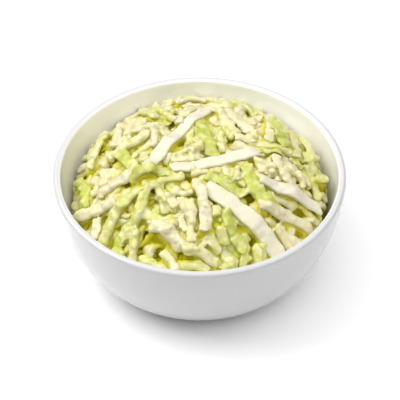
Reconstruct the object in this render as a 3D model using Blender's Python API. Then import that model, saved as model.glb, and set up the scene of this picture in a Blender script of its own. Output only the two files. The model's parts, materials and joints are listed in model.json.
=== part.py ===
"""Coleslaw heaped in a small round porcelain bowl.

Two sub-parts: the bowl, turned about its upright axis, and the coleslaw, one solid that fills the
bowl up to its own uneven, shredded outline. Metres, +Z up, origin on the table under the bowl's
centre. -Y is the side that the bowl is served from.
"""

import math
import random

import bmesh
import bpy

# Bowl
RIM_RADIUS = 0.065
BOWL_HEIGHT = 0.0528
WALL = 0.0035
FLOOR = 0.005
BASE_RADIUS = 0.0243
SIDE_POWER = 3.0
RISE_POWER = 1.93
FOOT_OUTER_RADIUS = 0.031
FOOT_INNER_RADIUS = 0.0248
RECESS_DEPTH = 0.001
WALL_SAMPLES = 11
LIP_SAMPLES = 5

# Coleslaw
HEAP_GAP = 0.0003
HEAP_TOP = 0.0632
DOME_POWER = 4.0
EDGE_BACK = 0.0440
EDGE_SIDE = 0.0355
EDGE_FRONT = 0.0405
EDGE_WAVE = 0.0006
EDGE_WAVES = 7
WAIST = 0.0330
UNDERSIDE_SAMPLES = 8
TOP_RINGS = 22

# Shreds that show as ridges on the heap
SHRED_SEED = 11
SHRED_COUNT = 100
SHRED_LENGTH = (0.022, 0.050)
SHRED_WIDTH = (0.0065, 0.0095)
SHRED_RISE = (0.0014, 0.0036)
SHRED_MEAN_RISE = 0.0020

TURN_STEPS = 72
MERGE_DISTANCE = 0.000001


def clear_scene():
    for item in list(bpy.data.objects):
        bpy.data.objects.remove(item, do_unlink=True)


def make_material(name, colour, roughness, coat):
    material = bpy.data.materials.new(name)
    material.use_nodes = True
    shader = material.node_tree.nodes["Principled BSDF"]
    shader.inputs["Base Color"].default_value = (*colour, 1.0)
    shader.inputs["Roughness"].default_value = roughness
    shader.inputs["Metallic"].default_value = 0.0
    shader.inputs["Coat Weight"].default_value = coat
    material.diffuse_color = (*colour, 1.0)
    return material


class Curve:
    """A quarter of a superellipse, from a flat base out and up to an upright wall."""

    def __init__(self, base_radius, wall_radius, base_height):
        self.base_radius = base_radius
        self.wall_radius = wall_radius
        self.base_height = base_height

    def point(self, angle):
        reach = math.sin(angle) ** (2.0 / SIDE_POWER)
        drop = max(math.cos(angle), 0.0) ** (2.0 / RISE_POWER)
        radius = self.base_radius + (self.wall_radius - self.base_radius) * reach
        height = BOWL_HEIGHT - (BOWL_HEIGHT - self.base_height) * drop
        return radius, height

    def angle_at_height(self, height):
        drop = (BOWL_HEIGHT - height) / (BOWL_HEIGHT - self.base_height)
        return math.acos(drop ** (RISE_POWER / 2.0))

    def angle_at_radius(self, radius):
        reach = (radius - self.base_radius) / (self.wall_radius - self.base_radius)
        return math.asin(reach ** (SIDE_POWER / 2.0))

    def radius_at_height(self, height):
        return self.point(self.angle_at_height(height))[0]

    def points(self, start_angle, end_angle, count):
        step = (end_angle - start_angle) / (count - 1)
        return [self.point(start_angle + step * index) for index in range(count)]


OUTER_WALL = Curve(BASE_RADIUS, RIM_RADIUS, 0.0)
INNER_WALL = Curve(BASE_RADIUS - WALL / 3.0, RIM_RADIUS - WALL, FLOOR)
HEAP_UNDERSIDE = Curve(
    INNER_WALL.base_radius - HEAP_GAP,
    INNER_WALL.wall_radius - HEAP_GAP,
    FLOOR + HEAP_GAP,
)


def turn_profile(profile):
    """Turn an open profile, whose ends lie on the axis, into a closed shell."""
    shell = bmesh.new()
    corners = [shell.verts.new((radius, 0.0, height)) for radius, height in profile]
    edges = [shell.edges.new(pair) for pair in zip(corners, corners[1:])]
    bmesh.ops.spin(
        shell,
        geom=corners + edges,
        cent=(0.0, 0.0, 0.0),
        axis=(0.0, 0.0, 1.0),
        angle=2.0 * math.pi,
        steps=TURN_STEPS,
        use_merge=True,
    )
    bmesh.ops.remove_doubles(shell, verts=shell.verts, dist=MERGE_DISTANCE)
    bmesh.ops.recalc_face_normals(shell, faces=shell.faces)
    return shell


def add_object(name, shell, material, sharp_angle):
    mesh = bpy.data.meshes.new(name)
    shell.to_mesh(mesh)
    shell.free()
    mesh.materials.append(material)
    mesh.shade_smooth()
    mesh.set_sharp_from_angle(angle=math.radians(sharp_angle))
    item = bpy.data.objects.new(name, mesh)
    bpy.context.scene.collection.objects.link(item)
    return item


def bowl_profile():
    """The bowl's half section: recessed foot, outer wall, rounded lip, inner wall and floor."""
    lip_radius = WALL / 2.0
    lip_height = BOWL_HEIGHT - lip_radius
    lip_centre = RIM_RADIUS - lip_radius
    foot = [
        (0.0, RECESS_DEPTH),
        (FOOT_INNER_RADIUS - RECESS_DEPTH, RECESS_DEPTH),
        (FOOT_INNER_RADIUS, 0.0),
        (FOOT_OUTER_RADIUS, 0.0),
    ]
    outer = OUTER_WALL.points(
        OUTER_WALL.angle_at_radius(FOOT_OUTER_RADIUS),
        OUTER_WALL.angle_at_height(lip_height),
        WALL_SAMPLES,
    )
    lip = []
    for index in range(1, LIP_SAMPLES + 1):
        turn = math.pi * index / (LIP_SAMPLES + 1)
        lip.append((lip_centre + lip_radius * math.cos(turn), lip_height + lip_radius * math.sin(turn)))
    inner = INNER_WALL.points(0.0, INNER_WALL.angle_at_height(lip_height), WALL_SAMPLES)
    return foot + outer[1:] + lip + inner[::-1] + [(0.0, FLOOR)]


def make_bowl():
    glaze = make_material("white_glaze", (0.86, 0.86, 0.85), 0.12, 0.5)
    return add_object("bowl", turn_profile(bowl_profile()), glaze, 40.0)


class Shred:
    """One shred of cabbage lying on the heap, seen as a low rounded ridge."""

    def __init__(self, chooser):
        distance = RIM_RADIUS * math.sqrt(chooser.random())
        bearing = chooser.uniform(0.0, 2.0 * math.pi)
        heading = chooser.uniform(0.0, math.pi)
        self.x = distance * math.cos(bearing)
        self.y = distance * math.sin(bearing)
        self.ahead = (math.cos(heading), math.sin(heading))
        self.half_length = chooser.uniform(*SHRED_LENGTH) / 2.0
        self.half_width = chooser.uniform(*SHRED_WIDTH) / 2.0
        self.rise = chooser.uniform(*SHRED_RISE)

    def height_at(self, x, y):
        east = x - self.x
        north = y - self.y
        along = (east * self.ahead[0] + north * self.ahead[1]) / self.half_length
        across = (north * self.ahead[0] - east * self.ahead[1]) / self.half_width
        if abs(along) >= 1.0 or abs(across) >= 1.0:
            return 0.0
        return self.rise * (1.0 - across ** 2) * (1.0 - along ** 4)


def edge_height(bearing):
    """Height at which the heap leaves the bowl's wall: highest at the back, lowest at the sides."""
    towards_back = math.sin(bearing)
    if towards_back > 0.0:
        end_height = EDGE_BACK
    else:
        end_height = EDGE_FRONT
    wave = EDGE_WAVE * math.sin(EDGE_WAVES * bearing)
    return EDGE_SIDE + (end_height - EDGE_SIDE) * towards_back ** 2 + wave


def heap_profile():
    """The heap's half section before its top is shaped: bowl-shaped below, flat rings above."""
    underside = HEAP_UNDERSIDE.points(0.0, HEAP_UNDERSIDE.angle_at_height(WAIST), UNDERSIDE_SAMPLES)
    edge_radius = HEAP_UNDERSIDE.radius_at_height(EDGE_SIDE)
    rings = [(edge_radius * (1.0 - index / TOP_RINGS), EDGE_SIDE) for index in range(TOP_RINGS)]
    return [(0.0, HEAP_UNDERSIDE.base_height)] + underside + rings + [(0.0, EDGE_SIDE)]


def shape_top(shell):
    """Lift the flat rings into the dome and lay the ridges of the shreds over it."""
    chooser = random.Random(SHRED_SEED)
    shreds = [Shred(chooser) for _ in range(SHRED_COUNT)]
    flat_radius = HEAP_UNDERSIDE.radius_at_height(EDGE_SIDE)
    for corner in shell.verts:
        if corner.co.z < (WAIST + EDGE_SIDE) / 2.0:
            continue
        share = math.hypot(corner.co.x, corner.co.y) / flat_radius
        bearing = math.atan2(corner.co.y, corner.co.x)
        edge = edge_height(bearing)
        radius = share * HEAP_UNDERSIDE.radius_at_height(edge)
        x = radius * math.cos(bearing)
        y = radius * math.sin(bearing)
        ridge = max(shred.height_at(x, y) for shred in shreds) - SHRED_MEAN_RISE
        dome = edge + (HEAP_TOP - edge) * (1.0 - share ** DOME_POWER)
        corner.co = (x, y, dome + ridge * (1.0 - share ** 12))


def make_coleslaw():
    shell = turn_profile(heap_profile())
    shape_top(shell)
    bmesh.ops.triangulate(shell, faces=shell.faces)
    bmesh.ops.recalc_face_normals(shell, faces=shell.faces)
    dressing = make_material("dressed_cabbage", (0.83, 0.84, 0.50), 0.35, 0.3)
    return add_object("coleslaw", shell, dressing, 60.0)


def main():
    clear_scene()
    make_bowl()
    make_coleslaw()


main()
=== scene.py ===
"""Looks of a bowl of coleslaw: the glazed bowl, the dressed mass, the shreds and their dressing.

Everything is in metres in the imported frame: +Z up, origin under the bowl's centre, and -Y is the
side that the bowl is served from. The shreds are laid one after another on a height map of the
heap, so that each rests on those below it and the heap fills the outline of its solid.
"""

import json
import logging
import math
from dataclasses import dataclass, field
from enum import Enum

import bpy
import numpy as np
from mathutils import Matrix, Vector
from mathutils.bvhtree import BVHTree
from mathutils.kdtree import KDTree

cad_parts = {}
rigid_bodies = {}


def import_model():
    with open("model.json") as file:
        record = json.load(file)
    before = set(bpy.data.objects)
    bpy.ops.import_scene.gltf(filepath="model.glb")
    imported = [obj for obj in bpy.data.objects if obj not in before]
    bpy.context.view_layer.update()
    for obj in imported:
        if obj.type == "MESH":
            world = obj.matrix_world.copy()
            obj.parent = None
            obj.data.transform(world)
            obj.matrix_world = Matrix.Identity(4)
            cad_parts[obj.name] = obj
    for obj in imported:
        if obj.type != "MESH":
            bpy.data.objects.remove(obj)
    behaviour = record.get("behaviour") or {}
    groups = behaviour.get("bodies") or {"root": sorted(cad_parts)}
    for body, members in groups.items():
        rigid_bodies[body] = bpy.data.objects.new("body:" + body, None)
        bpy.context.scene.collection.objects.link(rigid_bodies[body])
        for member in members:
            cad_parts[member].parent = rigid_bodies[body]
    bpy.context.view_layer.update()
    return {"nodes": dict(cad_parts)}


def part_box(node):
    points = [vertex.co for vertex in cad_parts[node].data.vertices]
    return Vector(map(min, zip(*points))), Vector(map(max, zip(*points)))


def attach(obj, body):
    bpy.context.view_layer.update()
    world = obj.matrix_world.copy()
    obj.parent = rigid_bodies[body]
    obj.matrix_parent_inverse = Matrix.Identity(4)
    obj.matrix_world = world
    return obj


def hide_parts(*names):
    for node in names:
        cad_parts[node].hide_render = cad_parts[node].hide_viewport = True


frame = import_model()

BODY = "root"
MM = 0.001
MERGE_DISTANCE = 0.000002
TINY = 1e-9

logging.basicConfig(level=logging.INFO, format="%(message)s")
LOG = logging.getLogger("coleslaw")


# ---------------------------------------------------------------------------------------------
# Small tools
# ---------------------------------------------------------------------------------------------


def deselect_all() -> None:
    """Leave object mode with nothing selected."""
    if bpy.context.object is not None and bpy.context.object.mode != "OBJECT":
        bpy.ops.object.mode_set(mode="OBJECT")
    for item in bpy.context.view_layer.objects.selected[:]:
        item.select_set(False)


def smoothstep(low: float, high: float, value: np.ndarray) -> np.ndarray:
    """Rise smoothly from 0 at low to 1 at high.

    Args:
        low: Value where the step starts.
        high: Value where the step ends.
        value: Values to step.

    Returns:
        The stepped values.
    """
    share = np.clip((value - low) / (high - low), 0.0, 1.0)
    return share * share * (3.0 - 2.0 * share)


def hashed(cell: np.ndarray, seed: int) -> np.ndarray:
    """Give every lattice cell its own number.

    Args:
        cell: Whole-number lattice coordinates, shape (n, 3).
        seed: Changes the whole pattern.

    Returns:
        Numbers from -1 to 1, shape (n,).
    """
    x, y, z = (cell[:, axis].astype(np.uint64) for axis in range(3))
    mixed = x * np.uint64(73856093) ^ y * np.uint64(19349663) ^ z * np.uint64(83492791)
    mixed = (mixed ^ np.uint64(seed * 2654435761)) & np.uint64(0xFFFFFFFF)
    mixed = ((mixed ^ (mixed >> np.uint64(15))) * np.uint64(2246822519)) & np.uint64(0xFFFFFFFF)
    mixed = ((mixed ^ (mixed >> np.uint64(13))) * np.uint64(3266489917)) & np.uint64(0xFFFFFFFF)
    mixed = mixed ^ (mixed >> np.uint64(16))
    return mixed.astype(np.float64) / float(0x7FFFFFFF) - 1.0


def lumps(points: np.ndarray, size: float, seed: int) -> np.ndarray:
    """Smooth lumpy noise in space.

    Args:
        points: Places in metres, shape (n, 3).
        size: Distance from one lump to the next, in metres.
        seed: Changes the whole pattern.

    Returns:
        Numbers from -1 to 1, shape (n,).
    """
    scaled = points / size + 4096.0
    cell = np.floor(scaled)
    share = scaled - cell
    share = share * share * (3.0 - 2.0 * share)
    total = np.zeros(len(points))
    for corner in range(8):
        step = np.array([corner & 1, (corner >> 1) & 1, (corner >> 2) & 1])
        weight = np.prod(np.where(step == 1, share, 1.0 - share), axis=1)
        total += weight * hashed(cell + step, seed)
    return total


def blurred(grid: np.ndarray, reach: int, passes: int = 2) -> np.ndarray:
    """Blur a square grid evenly.

    Args:
        grid: The values.
        reach: Cells taken in on each side.
        passes: How often the blur is repeated.

    Returns:
        The blurred grid.
    """
    for _ in range(passes):
        for axis in (0, 1):
            padded = np.pad(grid, [(reach + 1, reach) if a == axis else (0, 0) for a in (0, 1)], "edge")
            total = np.cumsum(padded, axis=axis)
            width = 2 * reach + 1
            upper = np.take(total, range(width, total.shape[axis]), axis=axis)
            lower = np.take(total, range(0, total.shape[axis] - width), axis=axis)
            grid = (upper - lower) / width
    return grid


def ball_offsets(radius: float, cell: float) -> list[tuple[int, int, float]]:
    """Grid steps under a ball, each with the ball's height there above its lowest point.

    Args:
        radius: The ball's radius in metres.
        cell: The grid's cell in metres.

    Returns:
        Row step, column step and height of each.
    """
    reach = int(radius / cell)
    steps = []
    for row in range(-reach, reach + 1):
        for column in range(-reach, reach + 1):
            flat = math.hypot(row, column) * cell
            if flat <= radius:
                steps.append((row, column, radius - math.sqrt(radius * radius - flat * flat)))
    return steps


def closed(grid: np.ndarray, radius: float, cell: float) -> np.ndarray:
    """Fill the hollows of a height map that a rolling ball can't enter.

    Args:
        grid: Heights in metres.
        radius: The ball's radius in metres.
        cell: The grid's cell in metres.

    Returns:
        The filled height map.
    """
    steps = ball_offsets(radius, cell)
    raised = np.max([np.roll(grid, (r, c), (0, 1)) - drop for r, c, drop in steps], axis=0)
    return np.min([np.roll(raised, (r, c), (0, 1)) + drop for r, c, drop in steps], axis=0)


def worn(grid: np.ndarray, reach: int) -> np.ndarray:
    """Lower a height map to the lowest place within a few cells of each.

    Args:
        grid: Heights in metres.
        reach: Cells taken in on each side.

    Returns:
        The lowered height map.
    """
    steps = [
        (row, column)
        for row in range(-reach, reach + 1)
        for column in range(-reach, reach + 1)
        if math.hypot(row, column) <= reach + 0.3
    ]
    return np.min([np.roll(grid, step, (0, 1)) for step in steps], axis=0)


def spread(item: bpy.types.Object, values: np.ndarray, passes: int) -> np.ndarray:
    """Even out numbers between neighbouring vertices of a mesh.

    Args:
        item: The object.
        values: One number for each vertex.
        passes: How often neighbours are averaged.

    Returns:
        The evened numbers.
    """
    mesh = item.data
    edges = np.zeros(len(mesh.edges) * 2, np.int32)
    mesh.edges.foreach_get("vertices", edges)
    first, second = edges[0::2], edges[1::2]
    size = len(mesh.vertices)
    joined = np.bincount(first, minlength=size) + np.bincount(second, minlength=size) + 1.0
    for _ in range(passes):
        total = values.copy()
        total += np.bincount(first, values[second], size) + np.bincount(second, values[first], size)
        values = total / joined
    return values


def apply_modifier(item: bpy.types.Object, kind: str, **values: object) -> None:
    """Add a modifier to an object, set it and apply it.

    Args:
        item: The object.
        kind: The modifier's type.
        values: Its settings.
    """
    deselect_all()
    bpy.context.view_layer.objects.active = item
    item.select_set(True)
    modifier = item.modifiers.new(kind.lower(), kind)
    for key, value in values.items():
        setattr(modifier, key, value)
    bpy.ops.object.modifier_apply(modifier=modifier.name)


def vertex_places(item: bpy.types.Object) -> np.ndarray:
    """Places of an object's vertices, shape (n, 3).

    Args:
        item: The object.

    Returns:
        The places, as a new array.
    """
    places = np.zeros(len(item.data.vertices) * 3)
    item.data.vertices.foreach_get("co", places)
    return places.reshape(-1, 3)


def vertex_normals(item: bpy.types.Object) -> np.ndarray:
    """Normals of an object's vertices, shape (n, 3).

    Args:
        item: The object.

    Returns:
        The normals, as a new array.
    """
    normals = np.zeros(len(item.data.vertices) * 3)
    item.data.vertex_normals.foreach_get("vector", normals)
    return normals.reshape(-1, 3)


def move_vertices(item: bpy.types.Object, places: np.ndarray) -> None:
    """Put an object's vertices at new places."""
    item.data.vertices.foreach_set("co", places.ravel())
    item.data.update()


def build_mesh(name: str, corners: np.ndarray, loops: np.ndarray, starts: np.ndarray) -> bpy.types.Object:
    """Make a smooth shaded object of polygons.

    Args:
        name: The object's name.
        corners: Vertex places, shape (n, 3).
        loops: Vertex numbers of all polygons, one after another.
        starts: Where each polygon starts in loops.

    Returns:
        The new object, linked to the scene.
    """
    mesh = bpy.data.meshes.new(name)
    mesh.vertices.add(len(corners))
    mesh.vertices.foreach_set("co", corners.astype(np.float32).ravel())
    mesh.loops.add(len(loops))
    mesh.loops.foreach_set("vertex_index", loops.astype(np.int32))
    mesh.polygons.add(len(starts))
    mesh.polygons.foreach_set("loop_start", starts.astype(np.int32))
    mesh.update(calc_edges=True)
    mesh.validate()
    mesh.shade_smooth()
    item = bpy.data.objects.new(name, mesh)
    bpy.context.scene.collection.objects.link(item)
    return item


def turned(name: str, section: list[tuple[float, float]], steps: int) -> bpy.types.Object:
    """Turn a half section once round the upright axis into a closed object that faces outwards.

    Args:
        name: The object's name.
        section: Radius and height of each point, from one end on the axis to the other.
        steps: Steps of one full turn.

    Returns:
        The new object, linked to the scene, selected and active.
    """
    mesh = bpy.data.meshes.new(name)
    edges = [(index, index + 1) for index in range(len(section) - 1)]
    mesh.from_pydata([(radius, 0.0, height) for radius, height in section], edges, [])
    item = bpy.data.objects.new(name, mesh)
    bpy.context.scene.collection.objects.link(item)
    deselect_all()
    bpy.context.view_layer.objects.active = item
    item.select_set(True)
    bpy.ops.object.mode_set(mode="EDIT")
    bpy.ops.mesh.select_all(action="SELECT")
    bpy.ops.mesh.spin(steps=steps, angle=2.0 * math.pi, center=(0.0, 0.0, 0.0), axis=(0.0, 0.0, 1.0))
    bpy.ops.mesh.select_all(action="SELECT")
    bpy.ops.mesh.remove_doubles(threshold=MERGE_DISTANCE)
    bpy.ops.mesh.normals_make_consistent(inside=False)
    bpy.ops.object.mode_set(mode="OBJECT")
    return item


def set_attribute(item: bpy.types.Object, name: str, values: np.ndarray) -> None:
    """Store one number for each vertex under a name that a material reads."""
    attribute = item.data.attributes.new(name, "FLOAT", "POINT")
    attribute.data.foreach_set("value", np.asarray(values, np.float32))


def register(item: bpy.types.Object, slot: str, *nodes: str) -> None:
    """Attach a finished piece to its body and hide the nodes that it stands for.

    Args:
        item: The finished piece.
        slot: Its material slot in the record; not used.
        nodes: Names of the solids that it stands for.
    """
    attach(item, BODY)
    if nodes:
        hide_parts(*nodes)
    item.data.calc_loop_triangles()
    LOG.info("%s: %d triangles", item.name, len(item.data.loop_triangles))


# ---------------------------------------------------------------------------------------------
# Finishes
# ---------------------------------------------------------------------------------------------


class Slot(Enum):
    """The record's material slots."""

    GLAZE = "glazed_porcelain"
    CABBAGE = "dressed_cabbage"


Colour = tuple[float, float, float]


class NodeBench:
    """Adds and wires the nodes of one material."""

    def __init__(self, name: str) -> None:
        """Start a material with a Principled shader.

        Args:
            name: The material's name.
        """
        self.material = bpy.data.materials.new(name)
        self.material.use_nodes = True
        self.tree = self.material.node_tree
        self.shader = self.tree.nodes["Principled BSDF"]

    def add(self, kind: str, **values: object) -> bpy.types.Node:
        """Add a node and set its properties.

        Args:
            kind: The node's type.
            values: Its properties.

        Returns:
            The node.
        """
        node = self.tree.nodes.new(kind)
        for key, value in values.items():
            setattr(node, key, value)
        return node

    def link(self, source: bpy.types.NodeSocket, target: bpy.types.NodeSocket) -> None:
        """Join two sockets."""
        self.tree.links.new(source, target)

    def attribute(self, name: str) -> bpy.types.NodeSocket:
        """Read a number kept on the mesh."""
        return self.add("ShaderNodeAttribute", attribute_name=name).outputs["Fac"]

    def noise(self, size: float, detail: float = 2.0, roughness: float = 0.5) -> bpy.types.NodeSocket:
        """Noise on Object coordinates whose lumps are about size metres apart.

        Args:
            size: Distance from one lump to the next, in metres.
            detail: Finer layers of noise.
            roughness: Share of each finer layer.

        Returns:
            Values around 0.5.
        """
        place = self.add("ShaderNodeTexCoord").outputs["Object"]
        node = self.add("ShaderNodeTexNoise")
        node.inputs["Scale"].default_value = 1.0 / size
        node.inputs["Detail"].default_value = detail
        node.inputs["Roughness"].default_value = roughness
        self.link(place, node.inputs["Vector"])
        return node.outputs["Fac"]

    def ramp(self, source: bpy.types.NodeSocket, low: float, high: float) -> bpy.types.NodeSocket:
        """Spread the values between low and high over 0 to 1, smoothly.

        Args:
            source: The values.
            low: Value that becomes 0.
            high: Value that becomes 1.

        Returns:
            The spread values.
        """
        node = self.add("ShaderNodeMapRange", interpolation_type="SMOOTHSTEP")
        node.inputs["From Min"].default_value = low
        node.inputs["From Max"].default_value = high
        self.link(source, node.inputs["Value"])
        return node.outputs["Result"]

    def spread_range(
        self, source: bpy.types.NodeSocket, start: float, end: float
    ) -> bpy.types.NodeSocket:
        """Spread the values from 0 to 1 over start to end.

        Args:
            source: The values.
            start: What 0 becomes.
            end: What 1 becomes.

        Returns:
            The spread values.
        """
        node = self.add("ShaderNodeMapRange")
        node.inputs["To Min"].default_value = start
        node.inputs["To Max"].default_value = end
        self.link(source, node.inputs["Value"])
        return node.outputs["Result"]

    def outward(self) -> bpy.types.NodeSocket:
        """How far a face looks away from the upright axis: 1 on an outer wall, -1 on an inner one.

        Returns:
            The share.
        """
        places = self.add("ShaderNodeTexCoord")
        flat = self.add("ShaderNodeVectorMath", operation="MULTIPLY")
        self.link(places.outputs["Object"], flat.inputs[0])
        flat.inputs[1].default_value = (1.0, 1.0, 0.0)
        radial = self.add("ShaderNodeVectorMath", operation="NORMALIZE")
        self.link(flat.outputs["Vector"], radial.inputs[0])
        share = self.add("ShaderNodeVectorMath", operation="DOT_PRODUCT")
        self.link(radial.outputs["Vector"], share.inputs[0])
        self.link(places.outputs["Normal"], share.inputs[1])
        return share.outputs["Value"]

    def maths(self, operation: str, first: object, second: object) -> bpy.types.NodeSocket:
        """Combine two sockets or numbers that vary over the surface.

        Args:
            operation: The operation's name.
            first: A socket or a number.
            second: A socket or a number.

        Returns:
            The result, kept between 0 and 1.
        """
        node = self.add("ShaderNodeMath", operation=operation, use_clamp=True)
        for socket, value in zip(node.inputs, (first, second)):
            if isinstance(value, bpy.types.NodeSocket):
                self.link(value, socket)
            else:
                socket.default_value = value
        return node.outputs["Value"]

    def mix(self, factor: bpy.types.NodeSocket, first: object, second: object) -> bpy.types.NodeSocket:
        """Mix two colours by a factor; each is a socket or a colour.

        Args:
            factor: Share of the second colour.
            first: The first colour.
            second: The second colour.

        Returns:
            The mixed colour.
        """
        node = self.add("ShaderNodeMix", data_type="RGBA")
        self.link(factor, node.inputs["Factor"])
        for socket, value in ((node.inputs[6], first), (node.inputs[7], second)):
            if isinstance(value, bpy.types.NodeSocket):
                self.link(value, socket)
            else:
                socket.default_value = (*value, 1.0)
        return node.outputs[2]

    def bump(self, source: bpy.types.NodeSocket, strength: float, distance: float) -> None:
        """Raise the shader's surface by a pattern.

        Args:
            source: The pattern.
            strength: Share of its effect.
            distance: Its height in metres.
        """
        node = self.add("ShaderNodeBump")
        node.inputs["Strength"].default_value = strength
        node.inputs["Distance"].default_value = distance
        self.link(source, node.inputs["Height"])
        self.link(node.outputs["Normal"], self.shader.inputs["Normal"])


@dataclass(frozen=True)
class Glaze:
    """White glaze of the bowl: one white glaze with painted shade, painted grey on the outer wall and near
    white on the inner wall.
    """

    name: str = "white_glaze"
    # Painted shade and painted light: the outer wall's white glaze is painted grey and the inner wall's
    # painted near white.
    outside_painted_shade: Colour = (0.52, 0.52, 0.52)
    inside: Colour = (0.96, 0.96, 0.98)
    turn_from: float = -0.95
    turn_to: float = -0.25
    roughness: float = 0.22
    coat: float = 0.35
    coat_roughness: float = 0.12
    grain: float = 0.004
    grain_strength: float = 0.05
    grain_height: float = 0.0002

    def material(self) -> bpy.types.Material:
        """Build the material.

        Returns:
            The glaze.
        """
        bench = NodeBench(self.name)
        # Painted shade on faces that look away from the axis, painted light on faces that look in.
        outer_shade_share = bench.ramp(bench.outward(), self.turn_from, self.turn_to)
        bench.link(bench.mix(outer_shade_share, self.inside, self.outside_painted_shade), bench.shader.inputs["Base Color"])
        bench.shader.inputs["Roughness"].default_value = self.roughness
        bench.shader.inputs["Coat Weight"].default_value = self.coat
        bench.shader.inputs["Coat Roughness"].default_value = self.coat_roughness
        bench.bump(bench.noise(self.grain, 2.0), self.grain_strength, self.grain_height)
        return bench.material


@dataclass(frozen=True)
class DressedCabbage:
    """Cabbage under a creamy dressing: tinted flesh, with painted shade that turns it golden in the gaps
    and olive at their bottom, and more cream on faces that look up, partly painted light.
    """

    name: str
    flesh: Colour
    leaf: Colour
    gap_shade_gold: Colour
    gap_shade_olive: Colour
    cream: Colour
    coat_low: float = 0.36
    coat_high: float = 0.68
    coat_share: float = 0.65
    roughness: float = 0.36
    subsurface: float = 0.45
    subsurface_reach: float = 0.0018
    subsurface_colour: Colour = (1.0, 0.85, 0.35)
    gloss: float = 0.3
    gloss_roughness: float = 0.15
    specular: float = 0.5
    patch: float = 0.0034
    grain: float = 0.0012
    grain_strength: float = 0.35
    grain_height: float = 0.0003
    # Painted shade: the colour turns gold and then olive the deeper a place lies in a gap between shreds.
    gap_shade_from: float = 0.18
    gap_shade_to: float = 0.52
    deep_shade_from: float = 0.42
    deep_shade_to: float = 0.85

    def material(self) -> bpy.types.Material:
        """Build the material.

        Returns:
            The finish of one kind of shred.
        """
        bench = NodeBench(self.name)
        deep = bench.attribute("deep")
        tint = bench.maths("MULTIPLY_ADD", bench.ramp(bench.noise(self.patch, 3.0), 0.3, 0.7), 0.5)
        bench.link(bench.attribute("tint"), tint.node.inputs[2])
        flesh = bench.mix(bench.ramp(tint, 0.2, 1.1), self.flesh, self.leaf)
        # Cream in patches of dressing, and more of it on faces that look up: the upward share is painted
        # light that makes tops paler than the sides.
        cream_cover_and_top_light = bench.ramp(bench.noise(self.patch, 2.5, 0.55), self.coat_low, self.coat_high)
        cream_cover_and_top_light = bench.maths("MULTIPLY", cream_cover_and_top_light, bench.attribute("coat"))
        cream_cover_and_top_light = bench.maths("MULTIPLY", cream_cover_and_top_light, self.coat_share)
        dressed = bench.mix(cream_cover_and_top_light, flesh, self.cream)
        # Painted shade in the gaps: gold where a place lies deep, olive where it lies deepest.
        gap_shaded = bench.mix(bench.ramp(deep, self.gap_shade_from, self.gap_shade_to), dressed, self.gap_shade_gold)
        colour = bench.mix(bench.ramp(deep, self.deep_shade_from, self.deep_shade_to), gap_shaded, self.gap_shade_olive)
        shader = bench.shader
        bench.link(colour, shader.inputs["Base Color"])
        bench.link(
            bench.spread_range(cream_cover_and_top_light, self.roughness + 0.08, self.roughness - 0.06),
            shader.inputs["Roughness"],
        )
        shader.inputs["Subsurface Weight"].default_value = self.subsurface
        shader.inputs["Subsurface Radius"].default_value = self.subsurface_colour
        shader.inputs["Subsurface Scale"].default_value = self.subsurface_reach
        open_share = bench.spread_range(bench.ramp(deep, 0.05, self.gap_shade_to), 1.0, 0.1)
        bench.link(bench.maths("MULTIPLY", open_share, self.gloss), shader.inputs["Coat Weight"])
        specular = bench.maths("MULTIPLY", open_share, self.specular)
        bench.link(specular, shader.inputs["Specular IOR Level"])
        shader.inputs["Coat Roughness"].default_value = self.gloss_roughness
        bench.bump(bench.noise(self.grain, 3.0, 0.55), self.grain_strength, self.grain_height)
        return bench.material


# ---------------------------------------------------------------------------------------------
# The bowl
# ---------------------------------------------------------------------------------------------


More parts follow.
